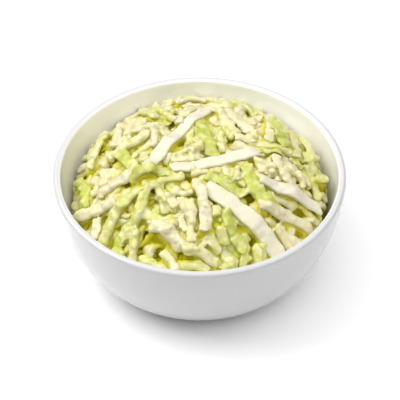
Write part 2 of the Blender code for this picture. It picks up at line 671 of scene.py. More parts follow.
@dataclass
class Bowl:
    """The porcelain bowl, turned from the same section as its solid, only finer.

    Its rim radius and height come from the solid's box, and the rest are its maker's sizes.
    """

    rim_radius: float
    height: float
    wall: float = 0.0035
    floor: float = 0.005
    base_radius: float = 0.0243
    side_power: float = 3.0
    rise_power: float = 1.93
    foot_outer_radius: float = 0.031
    foot_inner_radius: float = 0.0248
    recess_depth: float = 0.001
    wall_samples: int = 40
    lip_samples: int = 11
    turn_steps: int = 200
    sharp_angle: float = 35.0
    finish: Glaze = field(default_factory=Glaze)

    @classmethod
    def from_frame(cls) -> "Bowl":
        """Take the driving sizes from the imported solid."""
        low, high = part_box("bowl")
        return cls(rim_radius=float(high.x), height=float(high.z))

    def curve(self, angle: np.ndarray, inside: bool) -> tuple[np.ndarray, np.ndarray]:
        """Radius and height along the outer or the inner wall.

        Args:
            angle: 0 at the foot or floor and a quarter turn at the rim.
            inside: True for the inner wall.

        Returns:
            Radii and heights.
        """
        base = self.base_radius - self.wall / 3.0 if inside else self.base_radius
        side = self.rim_radius - self.wall if inside else self.rim_radius
        bottom = self.floor if inside else 0.0
        reach = np.sin(angle) ** (2.0 / self.side_power)
        drop = np.clip(np.cos(angle), 0.0, 1.0) ** (2.0 / self.rise_power)
        return base + (side - base) * reach, self.height - (self.height - bottom) * drop

    def inner_radius(self, height: np.ndarray) -> np.ndarray:
        """Radius of the inner wall at a height.

        Args:
            height: Heights above the table.

        Returns:
            The radii.
        """
        drop = np.clip((self.height - height) / (self.height - self.floor), 0.0, 1.0)
        angle = np.arccos(drop ** (self.rise_power / 2.0))
        return self.curve(angle, True)[0]

    def section(self) -> list[tuple[float, float]]:
        """The half section from the recess under the foot round to the middle of the floor.

        Returns:
            Radius and height of each point.
        """
        lip_radius = self.wall / 2.0
        lip_height = self.height - lip_radius
        lip_centre = self.rim_radius - lip_radius
        top = math.acos((lip_radius / self.height) ** (self.rise_power / 2.0))
        inner_top = math.acos((lip_radius / (self.height - self.floor)) ** (self.rise_power / 2.0))
        reach = (self.foot_outer_radius - self.base_radius) / (self.rim_radius - self.base_radius)
        start = math.asin(reach ** (self.side_power / 2.0))
        outer = zip(*self.curve(np.linspace(start, top, self.wall_samples)[1:], False))
        inner = zip(*self.curve(np.linspace(inner_top, 0.0, self.wall_samples), True))
        turns = np.linspace(0.0, math.pi, self.lip_samples + 2)[1:-1]
        lip = zip(lip_centre + lip_radius * np.cos(turns), lip_height + lip_radius * np.sin(turns))
        foot = [
            (0.0, self.recess_depth),
            (self.foot_inner_radius - self.recess_depth, self.recess_depth),
            (self.foot_inner_radius, 0.0),
            (self.foot_outer_radius, 0.0),
        ]
        return foot + list(outer) + list(lip) + list(inner) + [(0.0, self.floor)]

    def build(self) -> bpy.types.Object:
        """Turn the section about the upright axis and glaze it.

        Returns:
            The finished bowl.
        """
        item = turned("bowl_glazed", self.section(), self.turn_steps)
        item.data.materials.append(self.finish.material())
        bpy.ops.object.shade_smooth_by_angle(angle=math.radians(self.sharp_angle))
        register(item, Slot.GLAZE.value, "bowl")
        return item


# ---------------------------------------------------------------------------------------------
# The heap's height map
# ---------------------------------------------------------------------------------------------


@dataclass
class HeapMap:
    """A height map of the heap as it is laid, under the outline of its solid."""

    bowl: Bowl
    reach: float = 0.0635
    cell: float = 0.0004
    start_depth: float = 0.0098
    side_reach: float = 0.0566
    end_reach: float = 0.0602
    back_drop: float = 0.0038
    back_from: float = 0.05
    back_to: float = 0.85
    drop: float = 0.0008
    edge_inset: float = 0.0006
    coarse: int = 5
    blur_reach: int = 5
    blur_passes: int = 3
    ray_height: float = 1.0
    outline: np.ndarray = field(init=False)
    height: np.ndarray = field(init=False)
    kept: np.ndarray = field(init=False)

    def __post_init__(self) -> None:
        """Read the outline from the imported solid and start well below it."""
        node = frame["nodes"]["coleslaw"]
        corners = [vertex.co.copy() for vertex in node.data.vertices]
        faces = [tuple(polygon.vertices) for polygon in node.data.polygons]
        tree = BVHTree.FromPolygons(corners, faces)
        edge_radius = float(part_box("coleslaw")[1].x) - self.edge_inset
        line = np.arange(-self.reach, self.reach, self.cell * self.coarse)
        found = np.zeros((len(line), len(line)))
        above = Vector((0.0, 0.0, self.ray_height))
        for row, y in enumerate(line):
            for column, x in enumerate(line):
                distance = math.hypot(x, y)
                shrink = min(1.0, edge_radius / max(distance, TINY))
                start = Vector((x * shrink, y * shrink, 0.0)) + above
                found[row, column] = tree.ray_cast(start, -above)[0].z
        full = np.kron(found, np.ones((self.coarse, self.coarse)))
        self.outline = blurred(full, self.blur_reach, self.blur_passes)
        towards_back = self.places_of(full.shape[0])[1] / self.bowl.rim_radius
        away = smoothstep(self.back_from, self.back_to, towards_back)
        self.outline -= self.back_drop * away + self.drop
        self.height = self.outline - self.start_depth
        self.kept = np.zeros(self.height.shape, bool)

    def limit(self, x: np.ndarray, y: np.ndarray) -> np.ndarray:
        """Distance from the axis that shreds reach, less at the two sides than at front and back."""
        towards_side = x ** 2 / np.maximum(x ** 2 + y ** 2, 1e-12)
        return self.end_reach + (self.side_reach - self.end_reach) * towards_side

    def index(self, x: np.ndarray, y: np.ndarray) -> tuple[np.ndarray, np.ndarray]:
        """Row and column numbers, with their fractions, of places on the map.

        Args:
            x: X of each place.
            y: Y of each place.

        Returns:
            The row numbers and the column numbers.
        """
        limit = self.height.shape[0] - 1.001
        row = np.clip((y + self.reach) / self.cell - 0.5, 0.0, limit)
        column = np.clip((x + self.reach) / self.cell - 0.5, 0.0, limit)
        return row, column

    def sample(self, grid: np.ndarray, x: np.ndarray, y: np.ndarray) -> np.ndarray:
        """Heights of a grid at places, blended between its cells.

        Args:
            grid: The grid.
            x: X of each place.
            y: Y of each place.

        Returns:
            The heights.
        """
        row, column = self.index(x, y)
        r, c = row.astype(int), column.astype(int)
        u, v = row - r, column - c
        upper = grid[r, c] * (1 - v) + grid[r, c + 1] * v
        lower = grid[r + 1, c] * (1 - v) + grid[r + 1, c + 1] * v
        return upper * (1 - u) + lower * u

    def stamp(self, x: np.ndarray, y: np.ndarray, z: np.ndarray, keep: bool) -> None:
        """Raise the map to these heights where it is lower, and note what is to stay in view.

        Args:
            x: X of each place.
            y: Y of each place.
            z: Height of each place.
            keep: True if what is added is to stay in view.
        """
        row, column = self.index(x, y)
        cells = (np.rint(row).astype(int), np.rint(column).astype(int))
        np.maximum.at(self.height, cells, z)
        if keep:
            self.kept[cells] = True

    def covered(self, x: np.ndarray, y: np.ndarray) -> float:
        """Share of these places that lies over something that is to stay in view."""
        row, column = self.index(x, y)
        return float(self.kept[np.rint(row).astype(int), np.rint(column).astype(int)].mean())

    def places_of(self, count: int) -> tuple[np.ndarray, np.ndarray]:
        """X and Y of every cell of a map with this many rows."""
        line = (np.arange(count) + 0.5) * self.cell - self.reach
        return np.meshgrid(line, line)

    def places(self) -> tuple[np.ndarray, np.ndarray]:
        """X and Y of every cell."""
        return self.places_of(self.height.shape[0])

    def low(self, way: np.ndarray) -> float:
        """How far the heap is still below its outline along a way, on average."""
        x, y = way[:, 0], way[:, 1]
        return float((self.sample(self.outline, x, y) - self.sample(self.height, x, y)).mean())


# ---------------------------------------------------------------------------------------------
# Shreds
# ---------------------------------------------------------------------------------------------


@dataclass(frozen=True)
class Blank:
    """A straight shred of unit half length, half width and half thickness, modelled once."""

    corners: np.ndarray
    loops: np.ndarray
    starts: np.ndarray

    @classmethod
    def modelled(
        cls, name: str, around: int, rings: int, blunt: float, squareness: float, taper: float = 0.72
    ) -> "Blank":
        """Extrude a round face step by step along X, with drawn-in ends.

        Args:
            name: Name of the working object, which is removed again.
            around: Corners of the cross-section.
            rings: Rings along the shred.
            blunt: Share of the half length over which an end rounds off.
            squareness: 1 for an ellipse, less for a squarer section.
            taper: How far an end draws in.

        Returns:
            The blank.
        """
        middle = np.linspace(-1.0 + blunt, 1.0 - blunt, rings - 4)
        ends = blunt * np.array([0.0, 0.35])
        stations = np.concatenate([-1.0 + ends, middle, (1.0 - ends)[::-1]])
        inset = np.clip((np.abs(stations) - (1.0 - blunt)) / blunt, 0.0, 1.0)
        scale = np.sqrt(np.clip(1.0 - inset ** 2 * taper, 0.0, 1.0))
        deselect_all()
        bpy.ops.mesh.primitive_circle_add(
            vertices=around,
            radius=float(scale[0]),
            fill_type="NGON",
            location=(stations[0], 0.0, 0.0),
            rotation=(0.0, math.pi / 2.0, 0.0),
        )
        item = bpy.context.object
        item.name = name
        bpy.ops.object.transform_apply(location=True, rotation=True, scale=True)
        bpy.ops.object.mode_set(mode="EDIT")
        bpy.ops.mesh.select_all(action="SELECT")
        for index in range(1, len(stations)):
            step = float(stations[index] - stations[index - 1])
            bpy.ops.mesh.extrude_region_move(TRANSFORM_OT_translate={"value": (step, 0.0, 0.0)})
            growth = float(scale[index] / scale[index - 1])
            bpy.ops.transform.resize(value=(1.0, growth, growth))
        bpy.ops.mesh.select_all(action="SELECT")
        bpy.ops.mesh.normals_make_consistent(inside=False)
        bpy.ops.object.mode_set(mode="OBJECT")
        return cls.taken_from(item, squareness)

    @classmethod
    def bead(cls, name: str) -> "Blank":
        """Model a round bead of unit radius.

        Args:
            name: Name of the working object, which is removed again.

        Returns:
            The bead.
        """
        deselect_all()
        bpy.ops.mesh.primitive_ico_sphere_add(subdivisions=2, radius=1.0)
        item = bpy.context.object
        item.name = name
        return cls.taken_from(item)

    @classmethod
    def taken_from(cls, item: bpy.types.Object, squareness: float = 1.0) -> "Blank":
        """Read a working object's mesh and remove the object.

        Args:
            item: The working object.
            squareness: 1 keeps its cross-section as it is, and less makes it squarer.

        Returns:
            The blank.
        """
        corners = vertex_places(item)
        corners[:, 1:] = np.sign(corners[:, 1:]) * np.abs(corners[:, 1:]) ** squareness
        loops = np.array([loop.vertex_index for loop in item.data.loops])
        starts = np.array([polygon.loop_start for polygon in item.data.polygons])
        bpy.data.objects.remove(item, do_unlink=True)
        return cls(corners, loops, starts)


class Stock(Enum):
    """The straight shreds that the laid ones are copies of."""

    FINE = "fine_blank"
    RIB = "rib_blank"
    LEAF = "leaf_blank"
    SHORT = "short_blank"


class Depth(Enum):
    """The depths that the shreds are laid at, from the bottom up."""

    UNDER = "under"
    MIDDLE = "middle"
    TOP = "top"


@dataclass(frozen=True)
class ShredKind:
    """Sizes and manner of one kind of shred, in metres."""

    name: str
    stock: Stock
    length: tuple[float, float]
    width: tuple[float, float]
    thickness: tuple[float, float]
    bend: float
    sway: float
    stiffness: int
    lump: float
    lump_size: float
    ruffle: float
    tint: tuple[float, float]
    swell: float = 0.84
    tilt: float = 0.55


@dataclass(frozen=True)
class Feature:
    """A shred laid by hand, from start to end in shares of the rim's radius.

    The bow is how far its middle swings to the left of the straight way, as a share of its length.
    """

    kind: ShredKind
    start: tuple[float, float]
    end: tuple[float, float]
    bow: float
    width: float
    thickness: float
    tint: float
    lift: float = 0.0


RIB = ShredKind(
    "rib", Stock.RIB, length=(0.022, 0.046), width=(0.0046, 0.0066), thickness=(0.0017, 0.0023),
    bend=0.35, sway=0.10, stiffness=40, lump=0.00032, lump_size=0.0030, ruffle=0.0,
    tint=(0.0, 0.20), swell=0.90, tilt=0.2,
)
CREAM = ShredKind(
    "cream", Stock.FINE, length=(0.014, 0.032), width=(0.0038, 0.0058), thickness=(0.0026, 0.0034),
    bend=0.4, sway=0.16, stiffness=26, lump=0.00055, lump_size=0.0034, ruffle=0.0,
    tint=(0.0, 0.12),
)
PALE = ShredKind(
    "pale", Stock.FINE, length=(0.014, 0.036), width=(0.0030, 0.0048), thickness=(0.0022, 0.0031),
    bend=0.5, sway=0.18, stiffness=24, lump=0.00055, lump_size=0.0034, ruffle=0.0,
    tint=(0.10, 0.55),
)
LEAF = ShredKind(
    "leaf", Stock.LEAF, length=(0.010, 0.026), width=(0.0036, 0.0062), thickness=(0.0013, 0.0019),
    bend=0.7, sway=0.30, stiffness=10, lump=0.00050, lump_size=0.0030, ruffle=0.0007,
    tint=(0.35, 0.9),
)
BIT = ShredKind(
    "bit", Stock.SHORT, length=(0.006, 0.013), width=(0.0030, 0.0050), thickness=(0.0020, 0.0030),
    bend=0.4, sway=0.12, stiffness=10, lump=0.00055, lump_size=0.0032, ruffle=0.0,
    tint=(0.0, 0.4),
)

# Spots of outer leaves: x, y and radius, in shares of the rim's radius.
GREEN_SPOTS: tuple[tuple[float, float, float], ...] = (
    (-0.44, -0.06, 0.14),
    (0.05, 0.18, 0.17),
    (0.54, 0.16, 0.10),
    (0.74, 0.06, 0.13),
    (0.85, 0.00, 0.08),
    (0.22, -0.31, 0.12),
    (0.35, -0.36, 0.10),
    (-0.21, -0.26, 0.14),
    (-0.79, -0.16, 0.09),
    (-0.45, -0.51, 0.15),
    (-0.55, -0.60, 0.12),
    (-0.27, -0.54, 0.10),
    (0.18, -0.63, 0.13),
    (0.17, -0.81, 0.12),
    (0.37, -0.72, 0.10),
    (-0.06, -0.82, 0.10),
    (-0.27, -0.80, 0.10),
    (-0.35, 0.55, 0.12),
    (0.30, 0.72, 0.14),
    (-0.10, 0.80, 0.10),
    (0.62, 0.48, 0.10),
    (-0.72, 0.30, 0.09),
)

FEATURES: tuple[Feature, ...] = (
    Feature(PALE, (-0.62, 0.02), (-0.34, 0.22), 0.05, 0.0054, 0.0030, 0.1),
    Feature(PALE, (-0.76, 0.04), (-0.67, 0.46), -0.04, 0.0048, 0.0030, 0.35, 0.0018),
    Feature(PALE, (-0.44, 0.64), (-0.30, 0.40), 0.05, 0.0044, 0.0028, 0.2, 0.0014),
    Feature(CREAM, (-0.16, 0.66), (0.06, 0.70), 0.20, 0.0044, 0.0028, 0.1, 0.0020),
    Feature(LEAF, (-0.56, 0.06), (-0.38, -0.20), 0.06, 0.0066, 0.0018, 0.6),
    Feature(LEAF, (0.00, 0.38), (0.10, 0.00), -0.04, 0.0070, 0.0018, 0.6),
    Feature(LEAF, (-0.86, 0.08), (-0.77, -0.26), 0.10, 0.0052, 0.0018, 0.7),
    Feature(CREAM, (0.18, 0.50), (0.35, 0.24), 0.05, 0.0054, 0.0028, 0.15),
    Feature(CREAM, (0.47, 0.60), (0.47, 0.13), 0.06, 0.0050, 0.0028, 0.15, 0.0014),
    Feature(LEAF, (0.52, 0.42), (0.60, 0.14), -0.05, 0.0070, 0.0018, 0.4),
    Feature(PALE, (0.70, 0.40), (0.80, 0.12), 0.08, 0.0046, 0.0028, 0.5, 0.0014),
    Feature(CREAM, (-0.66, -0.25), (-0.34, -0.18), 0.04, 0.0060, 0.0032, 0.0),
    Feature(CREAM, (-0.84, -0.28), (-0.54, -0.35), -0.06, 0.0062, 0.0032, 0.05),
    Feature(CREAM, (-0.68, -0.40), (-0.70, -0.55), 0.05, 0.0054, 0.0032, 0.1),
    Feature(PALE, (-0.14, -0.57), (-0.36, -0.48), 0.12, 0.0054, 0.0028, 0.35),
    Feature(PALE, (-0.64, -0.60), (-0.38, -0.30), 0.10, 0.0056, 0.0028, 0.7),
    Feature(PALE, (-0.51, -0.60), (-0.36, -0.36), -0.14, 0.0050, 0.0028, 0.7),
    Feature(PALE, (-0.38, -0.74), (-0.16, -0.90), 0.04, 0.0046, 0.0028, 0.5),
    Feature(PALE, (-0.16, -0.83), (0.06, -0.86), 0.10, 0.0054, 0.0028, 0.5),
    Feature(CREAM, (-0.24, -0.74), (-0.14, -0.88), 0.04, 0.0044, 0.0028, 0.1),
    Feature(CREAM, (-0.32, -0.60), (-0.10, -0.76), 0.10, 0.0068, 0.0034, 0.0),
    Feature(RIB, (-0.36, -0.17), (0.10, 0.56), 0.03, 0.0060, 0.0021, 0.0),
    Feature(LEAF, (-0.46, -0.26), (-0.14, -0.18), 0.12, 0.0046, 0.0016, 0.5),
    Feature(LEAF, (0.30, -0.10), (0.44, -0.44), -0.05, 0.0068, 0.0018, 0.6),
    Feature(CREAM, (0.52, 0.02), (0.66, -0.28), -0.08, 0.0050, 0.0026, 0.1),
    Feature(PALE, (0.72, 0.04), (0.80, -0.18), 0.10, 0.0046, 0.0026, 0.6),
    Feature(PALE, (0.92, 0.02), (0.79, -0.06), 0.0, 0.0044, 0.0026, 0.7, 0.0014),
    Feature(RIB, (0.40, -0.26), (0.82, -0.27), -0.06, 0.0060, 0.0021, 0.05),
    Feature(CREAM, (0.38, -0.45), (0.75, -0.44), -0.04, 0.0058, 0.0030, 0.05),
    Feature(PALE, (0.29, -0.60), (0.28, -0.80), 0.03, 0.0042, 0.0024, 0.35),
    Feature(RIB, (0.04, -0.33), (0.54, -0.71), 0.02, 0.0076, 0.0021, 0.1),
    Feature(CREAM, (-0.03, -0.26), (0.04, -0.66), 0.06, 0.0058, 0.0032, 0.0),
    Feature(LEAF, (0.16, -0.50), (0.30, -0.74), -0.06, 0.0056, 0.0018, 0.7),
    Feature(CREAM, (-0.12, -0.77), (0.12, -0.81), 0.05, 0.0056, 0.0028, 0.1),
    Feature(RIB, (-0.20, -0.15), (0.42, 0.05), -0.05, 0.0062, 0.0021, 0.0),
)


@dataclass(frozen=True)
class Batch:
    """A number of shreds of one kind, and how far they may pass the heap's outline."""

    kind: ShredKind
    count: int
    ceiling: float


@dataclass(frozen=True)
class Piece:
    """The joined shreds of one kind and depth: the grain and relief of their skin, and their blobs."""

    depth: Depth
    kind: ShredKind
    grain: float = 0.0
    relief: float = 0.0
    spacing: float = 0.0


BATCHES: dict[Depth, tuple[Batch, ...]] = {
    Depth.UNDER: (
        Batch(PALE, 50, -0.0064),
        Batch(CREAM, 20, -0.0064),
        Batch(LEAF, 14, -0.0058),
        Batch(BIT, 60, -0.0058),
    ),
    Depth.MIDDLE: (
        Batch(CREAM, 24, -0.0036),
        Batch(PALE, 60, -0.0036),
        Batch(LEAF, 10, -0.0034),
        Batch(BIT, 60, -0.0032),
        Batch(CREAM, 30, -0.0020),
        Batch(PALE, 80, -0.0020),
        Batch(LEAF, 12, -0.0020),
        Batch(BIT, 80, -0.0016),
    ),
    Depth.TOP: (
        Batch(LEAF, 12, 0.0),
        Batch(CREAM, 20, 0.0004),
        Batch(PALE, 50, 0.0006),
        Batch(RIB, 3, 0.0006),
        Batch(BIT, 60, 0.0006),
        Batch(LEAF, 8, 0.0008),
        Batch(PALE, 40, 0.0010),
        Batch(BIT, 90, 0.0010),
    ),
}

PIECES: tuple[Piece, ...] = (
    Piece(Depth.UNDER, CREAM),
    Piece(Depth.UNDER, PALE),
    Piece(Depth.UNDER, LEAF),
    Piece(Depth.UNDER, BIT),
    Piece(Depth.MIDDLE, CREAM, 0.0007, 0.0005, 0.0030),
    Piece(Depth.MIDDLE, PALE, 0.0007, 0.0005, 0.0030),
    Piece(Depth.MIDDLE, LEAF, 0.0006, 0.0004, 0.0050),
    Piece(Depth.MIDDLE, BIT, 0.0007, 0.0005, 0.0030),
    Piece(Depth.TOP, RIB, 0.0005, 0.00018),
    Piece(Depth.TOP, CREAM, 0.0006, 0.0005, 0.0030),
    Piece(Depth.TOP, PALE, 0.0006, 0.0005, 0.0030),
    Piece(Depth.TOP, LEAF, 0.00055, 0.0004, 0.0050),
    Piece(Depth.TOP, BIT, 0.0006, 0.0005, 0.0030),
)


@dataclass
class Shred:
    """One laid shred: its centreline, its cross-section's size and its lean along the way."""

    centre: np.ndarray
    lean: np.ndarray
    half_width: np.ndarray
    half_thickness: np.ndarray
    kind: ShredKind
    tint: float
    seed: int


class Layer:
    """Lays shreds on the height map and turns them into meshes.

    For each shred wanted it makes TRIES tries, each with the one of CHOICES ways that lies over the
    lowest part of the heap. A try fails if more than COVER_LIMIT of it hides the listed shreds, or
    if a place of it stands more than STAND_OUT above the ceiling.
    """

    TRIES = 3
    CHOICES = 5
    COVER_LIMIT = 0.12
    STAND_OUT = 0.0016
    WANDER_REACH = 0.0605
    SPOT_CHANCE = 0.8
    SPOT_SPREAD = 0.4
    SAG = 0.00005
    FULL_DEPTH = 0.006
    CREST_BALL = 0.0030
    WALL_GAP = 0.0003
    GREEN_GAIN = 0.7
    BEAD_RADIUS = (0.0007, 0.0014)
    BEAD_SINK = 0.45
    BEAD_SEED = 70000

    def __init__(self, heap: HeapMap, seed: int) -> None:
        """Start with an empty heap and a seeded chooser.

        Args:
            heap: The height map.
            seed: Changes where every shred lies.
        """
        self.heap = heap
        self.chooser = np.random.default_rng(seed)
        self.laid: dict[tuple[Depth, str], list[Shred]] = {}
        self.number = 0
        self.depth = Depth.UNDER

    def wander(self, kind: ShredKind, length: float) -> np.ndarray:
        """A gently bent way across the heap.

        Args:
            kind: The kind of shred.
            length: Its length in metres.

        Returns:
            Places on the map, shape (n, 2).
        """
        chooser = self.chooser
        steps = max(8, int(length / MM))
        share = np.linspace(0.0, 1.0, steps)
        heading = chooser.uniform(0.0, 2.0 * math.pi) + chooser.normal(0.0, kind.bend) * (share - 0.5)
        sway = chooser.normal(0.0, kind.sway)
        waves = share * chooser.uniform(0.6, 1.8) + chooser.random()
        heading = heading + sway * np.sin(2.0 * math.pi * waves)
        step = length / (steps - 1)
        x = np.cumsum(np.cos(heading)) * step
        y = np.cumsum(np.sin(heading)) * step
        distance = self.WANDER_REACH * math.sqrt(chooser.random())
        bearing = chooser.uniform(0.0, 2.0 * math.pi)
        middle = np.array([distance * math.cos(bearing), distance * math.sin(bearing)])
        if kind is LEAF and chooser.random() < self.SPOT_CHANCE:
            spot = np.array(GREEN_SPOTS[chooser.integers(len(GREEN_SPOTS))])
            spot = spot * self.heap.bowl.rim_radius
            middle = spot[:2] + chooser.normal(0.0, self.SPOT_SPREAD * spot[2], 2)
        way = np.stack([x, y], axis=1)
        return way - way.mean(axis=0) + middle

    def settle(
        self, kind: ShredKind, way: np.ndarray, half_width: np.ndarray, sink: float
    ) -> tuple[np.ndarray, np.ndarray, np.ndarray]:
        """Let a shred sink onto the heap as far as its stiffness lets it bend.

        Args:
            kind: The kind of shred, with its stiffness and how far it tilts.
            way: Places on the map.
            half_width: Half width along the way.
            sink: How far it presses into what it lies on.

        Returns:
            Heights of its underside, its lean and the way's left side.
        """
        heap = self.heap
        ahead = np.gradient(way, axis=0)
        ahead /= np.linalg.norm(ahead, axis=1, keepdims=True) + 1e-12
        left = np.stack([-ahead[:, 1], ahead[:, 0]], axis=1)
        offsets = np.linspace(-0.85, 0.85, 5)
        under = []
        for offset in offsets:
            place = way + left * (half_width * offset)[:, None]
            under.append(heap.sample(heap.height, place[:, 0], place[:, 1]))
        under = np.array(under)
        slope = (under[3:].mean(axis=0) - under[:2].mean(axis=0)) / (1.28 * half_width)
        slope = np.clip(slope, -kind.tilt, kind.tilt)
        kernel = np.ones(7) / 7.0
        slope = np.convolve(np.pad(slope, 3, "edge"), kernel, "valid")
        support = (under - offsets[:, None] * half_width * slope).max(axis=0) - sink
        height = support.copy()
        for _ in range(kind.stiffness):
            padded = np.pad(height, 1, "edge")
            padded[0] = 2.0 * height[0] - height[1] - self.SAG
            padded[-1] = 2.0 * height[-1] - height[-2] - self.SAG
            height = np.maximum(support, 0.25 * padded[:-2] + 0.5 * height + 0.25 * padded[2:])
        return height, np.arctan(slope), left

    def raise_map(
        self,
        way: np.ndarray,
        left: np.ndarray,
        height: np.ndarray,
        lean: np.ndarray,
        half_width: np.ndarray,
        thickness: np.ndarray,
        keep: bool,
    ) -> None:
        """Add a laid shred to the height map.

        Args:
            way: Places on the map.
            left: The way's left side.
            height: Heights of the underside along the way.
            lean: The shred's lean along the way.
            half_width: Its half width along the way.
            thickness: Its thickness along the way.
            keep: True if it is to stay in view.
        """
        fine = np.linspace(0.0, len(way) - 1.0, len(way) * 3)
        numbers = np.arange(len(way))

        def read(values: np.ndarray) -> np.ndarray:
            """Values along the way at finer steps."""
            return np.interp(fine, numbers, values)

        half, thick, base, slope = read(half_width), read(thickness), read(height), np.tan(read(lean))
        x, y = read(way[:, 0]), read(way[:, 1])
        side_x, side_y = read(left[:, 0]), read(left[:, 1])
        for offset in np.linspace(-0.95, 0.95, 15):
            across = half * offset
            crown = thick * (0.5 + 0.5 * math.sqrt(1.0 - offset ** 2))
            self.heap.stamp(
                x + side_x * across, y + side_y * across, base + across * slope + crown, keep
            )

    def lay(
        self,
        kind: ShredKind,
        way: np.ndarray,
        width: float,
        thickness: float,
        tint: float,
        ceiling: float | None,
        sink: float = 0.0003,
        lift: float = 0.0,
    ) -> bool:
        """Lay one shred, unless it would stand too far out of the heap's outline.

        Args:
            kind: The kind of shred.
            way: Places on the map.
            width: Mean width.
            thickness: Mean thickness.
            tint: 0 for cream flesh and 1 for green.
            ceiling: How far its top may pass the outline, or None for any height.
            sink: How far it presses into what it lies on.
            lift: Extra height.

        Returns:
            True if it was laid.
        """
        self.number += 1
        heap = self.heap
        share = np.linspace(0.0, 1.0, len(way))
        chooser = np.random.default_rng(self.number)
        swells = 3 + int(len(way) / 3.5)
        waver = np.interp(share, np.linspace(0, 1, swells), chooser.uniform(kind.swell, 1.15, swells))
        half_width = 0.5 * width * waver
        thick = thickness * np.interp(share, np.linspace(0, 1, 5), chooser.uniform(0.85, 1.15, 5))
        if ceiling is not None and heap.covered(way[:, 0], way[:, 1]) > self.COVER_LIMIT:
            return False
        distance = np.hypot(way[:, 0], way[:, 1])
        reach = heap.limit(way[:, 0], way[:, 1])
        shrink = np.minimum(1.0, (reach - 0.4 * half_width) / np.maximum(distance, TINY))
        way = way * shrink[:, None]
        height, lean, left = self.settle(kind, way, half_width, sink)
        height = height + lift
        top = height + thick
        over = top - heap.sample(heap.outline, way[:, 0], way[:, 1])
        if ceiling is not None and (over.mean() > ceiling or over.max() > ceiling + self.STAND_OUT):
            return False
        self.raise_map(way, left, height, lean, half_width, thick, ceiling is None)
        centre = np.column_stack([way, height + 0.5 * thick])
        shred = Shred(centre, lean, half_width, 0.5 * thick, kind, tint, self.number)
        self.laid.setdefault((self.depth, kind.name), []).append(shred)
        return True

    def scatter(self, batch: Batch) -> None:
        """Lay the shreds of a batch at random until its count or the tries are used up.

        Args:
            batch: The batch.
        """
        chooser = self.chooser
        kind = batch.kind
        laid = 0
        for _ in range(batch.count * self.TRIES):
            if laid >= batch.count:
                break
            length = chooser.uniform(*kind.length)
            way = max((self.wander(kind, length) for _ in range(self.CHOICES)), key=self.heap.low)
            width = chooser.uniform(*kind.width)
            thickness = chooser.uniform(*kind.thickness)
            tint = chooser.uniform(*kind.tint)
            if self.lay(kind, way, width, thickness, tint, batch.ceiling, 0.5 * thickness):
                laid += 1
        LOG.info("laid %d of %s, %s", laid, kind.name, self.depth.value)

    def beads(self, shred: Shred, bead: Blank, spacing: float) -> list[np.ndarray]:
        """Blobs of dressing that stand on a shred.

        Args:
            shred: The laid shred.
            bead: A round bead of unit radius.
            spacing: Mean distance from one blob to the next along the shred.

        Returns:
            Vertex places of each blob.
        """
        chooser = np.random.default_rng(shred.seed + self.BEAD_SEED)
        centre = shred.centre
        ahead = np.gradient(centre, axis=0)
        ahead /= np.linalg.norm(ahead, axis=1, keepdims=True) + 1e-12
        blobs = []
        for _ in range(int(len(centre) * MM / spacing)):
            number = int(chooser.integers(len(centre)))
            across = chooser.uniform(-0.9, 0.9)
            side = np.array([-ahead[number, 1], ahead[number, 0], math.tan(shred.lean[number])])
            rise = shred.half_thickness[number] * math.sqrt(1.0 - 0.8 * across ** 2)
            radius = chooser.uniform(*self.BEAD_RADIUS)
            place = centre[number] + side * across * shred.half_width[number]
            place = place + np.array([0.0, 0.0, rise - self.BEAD_SINK * radius])
            stretch = 1.0 + chooser.uniform(-0.2, 0.5, 3) * np.array([1.0, 1.0, 0.3])
            blobs.append(self.inside_wall(place + bead.corners * radius * stretch))
        return blobs

    def mesh(
        self, name: str, shreds: list[Shred], blank: Blank, bead: Blank, spacing: float
    ) -> bpy.types.Object:
        """Join copies of the blank, each bent along its shred, and the blobs that stand on them.

        Args:
            name: Name of the piece.
            shreds: The shreds in it.
            blank: The straight shred that they are copies of.
            bead: A round bead of unit radius.
            spacing: Mean distance between blobs along a shred, or 0 for none.

        Returns:
            The joined piece with its attributes.
        """
        corners, tints, loops, starts, coats_and_top_light = [], [], [], [], []
        corner_count, loop_count = 0, 0
        for shred in shreds:
            copies = [(self.bent(shred, blank), blank)]
            if spacing:
                copies += [(blob, bead) for blob in self.beads(shred, bead, spacing)]
            for placed, shape in copies:
                corners.append(placed)
                tints.append(np.full(len(placed), shred.tint))
                # More cream on each copy's upper side: partly dressing, partly painted light on the tops.
                coats_and_top_light.append(np.clip(0.35 + 0.65 * (shape.corners[:, 2] + 1.0) / 2.0, 0.0, 1.0))
                loops.append(shape.loops + corner_count)
                starts.append(shape.starts + loop_count)
                corner_count += len(shape.corners)
                loop_count += len(shape.loops)
        places = np.concatenate(corners)
        item = build_mesh(name, places, np.concatenate(loops), np.concatenate(starts))
        tint = np.concatenate(tints)
        if shreds[0].kind is not RIB:
            tint = np.clip(tint + self.GREEN_GAIN * self.greenness(places), 0.0, 1.0)
        set_attribute(item, "tint", tint)
        set_attribute(item, "coat", np.concatenate(coats_and_top_light))
        # Depth in the gaps, which the finish paints as shade.
        set_attribute(item, "deep", self.deepness(places))
        return item

    def greenness(self, places: np.ndarray) -> np.ndarray:
        """How green the cabbage is at each place, from 0 to 1, by the spots of outer leaves.

        Args:
            places: The places, shape (n, 3).

        Returns:
            The shares of green.
        """
        rim = self.heap.bowl.rim_radius
        total = np.zeros(len(places))
        for x, y, radius in GREEN_SPOTS:
            distance = np.hypot(places[:, 0] / rim - x, places[:, 1] / rim - y)
            total = np.maximum(total, 1.0 - smoothstep(0.5 * radius, 1.35 * radius, distance))
        return total

    def find_crest(self) -> None:
        """Keep the surface that a ball rolls on over the finished heap."""
        self.crest = blurred(closed(self.heap.height, self.CREST_BALL, self.heap.cell), 2, 2)

    def deepness(self, places: np.ndarray) -> np.ndarray:
        """How far each place is down in a gap between shreds, from 0 on their crests to 1, which the
        finishes paint as shade.
        """
        crest = self.heap.sample(self.crest, places[:, 0], places[:, 1])
        return np.clip((crest - places[:, 2]) / self.FULL_DEPTH, 0.0, 1.0)

